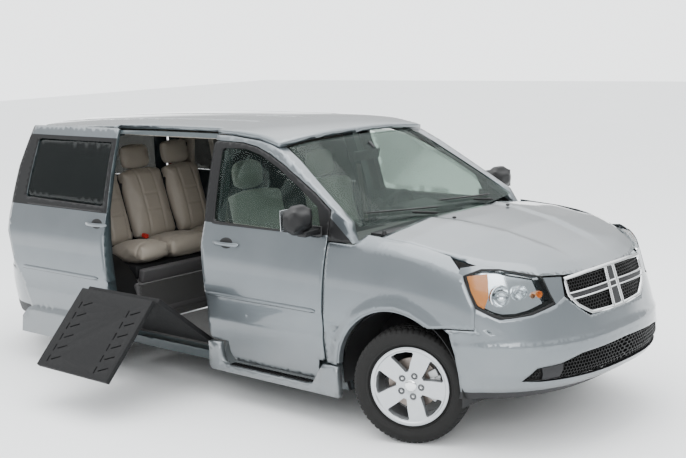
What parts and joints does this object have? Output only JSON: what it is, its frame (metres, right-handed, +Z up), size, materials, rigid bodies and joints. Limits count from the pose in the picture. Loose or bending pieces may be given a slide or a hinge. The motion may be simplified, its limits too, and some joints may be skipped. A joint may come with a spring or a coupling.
{
  "type": "lowered-floor wheelchair minivan with a folding side ramp",
  "caption": "Lowered-floor minivan with hinged doors, hood and liftgate, a sliding door run back, steered and rolling wheels and a folding wheelchair ramp.",
  "frame": {"origin": "on the ground, under the middle of the whole vehicle with its mirrors and half-folded ramp", "axes": "+X forward along the vehicle, +Y to its left, +Z up"},
  "size_m": [5.1397, 2.8924, 1.793],
  "materials": {
    "paint": "silver blue-grey metallic paint under clear coat",
    "black": "satin black plastic",
    "glass": "clear glass with a pale green tint",
    "dark_glass": "privacy glass",
    "rubber": "black tyre rubber",
    "alloy": "silver painted cast alloy",
    "chrome": "bright chrome",
    "lamp": "clear lens over a bright reflector",
    "red_lamp": "red lens",
    "steel": "dark steel",
    "leather": "beige leather",
    "cloth": "grey-beige seat cloth",
    "trim": "dark moulded trim and carpet",
    "ramp": "black grit coat on aluminium"
  },
  "bodies": {
    "van_body": {"b_pillar_left": "black", "b_pillar_right": "black", "body_side_left": "paint", "body_side_right": "paint", "bulkhead": "trim", "cowl_panel": "black", "dashboard": "trim", "engine_block": "steel", "exhaust": "steel", "floor_pan": "trim", "front_bumper": "paint", "front_fender_left": "paint", "front_fender_right": "paint", "front_seat_left": "cloth", "front_seat_right": "cloth", "front_subframe": "steel", "grille": "chrome", "headlight_left": "lamp", "headlight_right": "lamp", "quarter_glass_left": "dark_glass", "quarter_glass_right": "dark_glass", "rear_axle": "steel", "rear_bench": "leather", "rear_bumper": "paint", "rear_floor": "trim", "roof_panel": "paint", "sill_cladding_left": "paint", "sill_cladding_right": "paint", "sliding_door_glass_left": "dark_glass", "sliding_door_glass_right": "dark_glass", "sliding_door_left": "paint", "sliding_door_right": "paint", "steering_wheel": "trim", "tail_light_left": "red_lamp", "tail_light_right": "red_lamp", "windshield": "glass"},
    "front_door_right": {"front_door_right": "paint", "front_door_glass_right": "glass", "mirror_right": "black"},
    "front_door_left": {"front_door_left": "paint", "front_door_glass_left": "glass", "mirror_left": "black"},
    "hood": {"hood": "paint"},
    "liftgate": {"liftgate": "paint", "liftgate_glass": "dark_glass"},
    "knuckle_right": {"knuckle_right": "steel"},
    "knuckle_left": {"knuckle_left": "steel"},
    "front_wheel_right": {"tyre_front_right": "rubber", "wheel_front_right": "alloy"},
    "front_wheel_left": {"tyre_front_left": "rubber", "wheel_front_left": "alloy"},
    "rear_wheel_right": {"tyre_rear_right": "rubber", "wheel_rear_right": "alloy"},
    "rear_wheel_left": {"tyre_rear_left": "rubber", "wheel_rear_left": "alloy"},
    "ramp_inner": {"ramp_inner_panel": "ramp"},
    "ramp_outer": {"ramp_outer_panel": "ramp"}
  },
  "joints": [
    {"name": "steering_right", "type": "hinge", "parent": "van_body", "child": "knuckle_right", "pos_m": [1.6105, -0.464, 0.345], "axis": [0, 0, 1], "range_deg": [-57, 13]},
    {"name": "steering_left", "type": "hinge", "parent": "van_body", "child": "knuckle_left", "pos_m": [1.6105, 1.026, 0.345], "axis": [0, 0, 1], "range_deg": [-57, 13]},
    {"name": "front_wheel_right_spin", "type": "hinge", "parent": "knuckle_right", "child": "front_wheel_right", "pos_m": [1.64047, -0.53817, 0.345], "axis": [-0.3746, 0.9272, 0], "continuous": true},
    {"name": "front_wheel_left_spin", "type": "hinge", "parent": "knuckle_left", "child": "front_wheel_left", "pos_m": [1.58053, 1.10017, 0.345], "axis": [-0.3746, 0.9272, 0], "continuous": true},
    {"name": "rear_wheel_right_spin", "type": "hinge", "parent": "van_body", "child": "rear_wheel_right", "pos_m": [-1.4675, -0.544, 0.345], "axis": [0, 1, 0], "continuous": true},
    {"name": "rear_wheel_left_spin", "type": "hinge", "parent": "van_body", "child": "rear_wheel_left", "pos_m": [-1.4675, 1.106, 0.345], "axis": [0, 1, 0], "continuous": true},
    {"name": "front_door_right_hinge", "type": "hinge", "parent": "van_body", "child": "front_door_right", "pos_m": [1.0455, -0.662, 0.733], "axis": [0, 0, 1], "range_deg": [0, 62]},
    {"name": "front_door_left_hinge", "type": "hinge", "parent": "van_body", "child": "front_door_left", "pos_m": [1.0455, 1.224, 0.733], "axis": [0, 0, -1], "range_deg": [0, 62]},
    {"name": "hood_hinge", "type": "hinge", "parent": "van_body", "child": "hood", "pos_m": [1.4455, 0.281, 1.208], "axis": [0, -1, 0], "range_deg": [0, 50]},
    {"name": "liftgate_hinge", "type": "hinge", "parent": "van_body", "child": "liftgate", "pos_m": [-2.2675, 0.281, 1.718], "axis": [0, 1, 0], "range_deg": [0, 80]},
    {"name": "ramp_inner_hinge", "type": "hinge", "parent": "van_body", "child": "ramp_inner", "pos_m": [-0.442, -0.519, 0.323], "axis": [1, 0, 0], "range_deg": [-51, 53]},
    {"name": "ramp_outer_hinge", "type": "hinge", "parent": "ramp_inner", "child": "ramp_outer", "pos_m": [-0.442, -1.0089, 0.69527], "axis": [1, 0, 0], "range_deg": [-86, 83]}
  ],
  "couplings": [
    {"joint": "steering_left", "follows": "steering_right", "ratio": 1},
    {"joint": "ramp_outer_hinge", "follows": "ramp_inner_hinge", "ratio": -1.62}
  ]
}
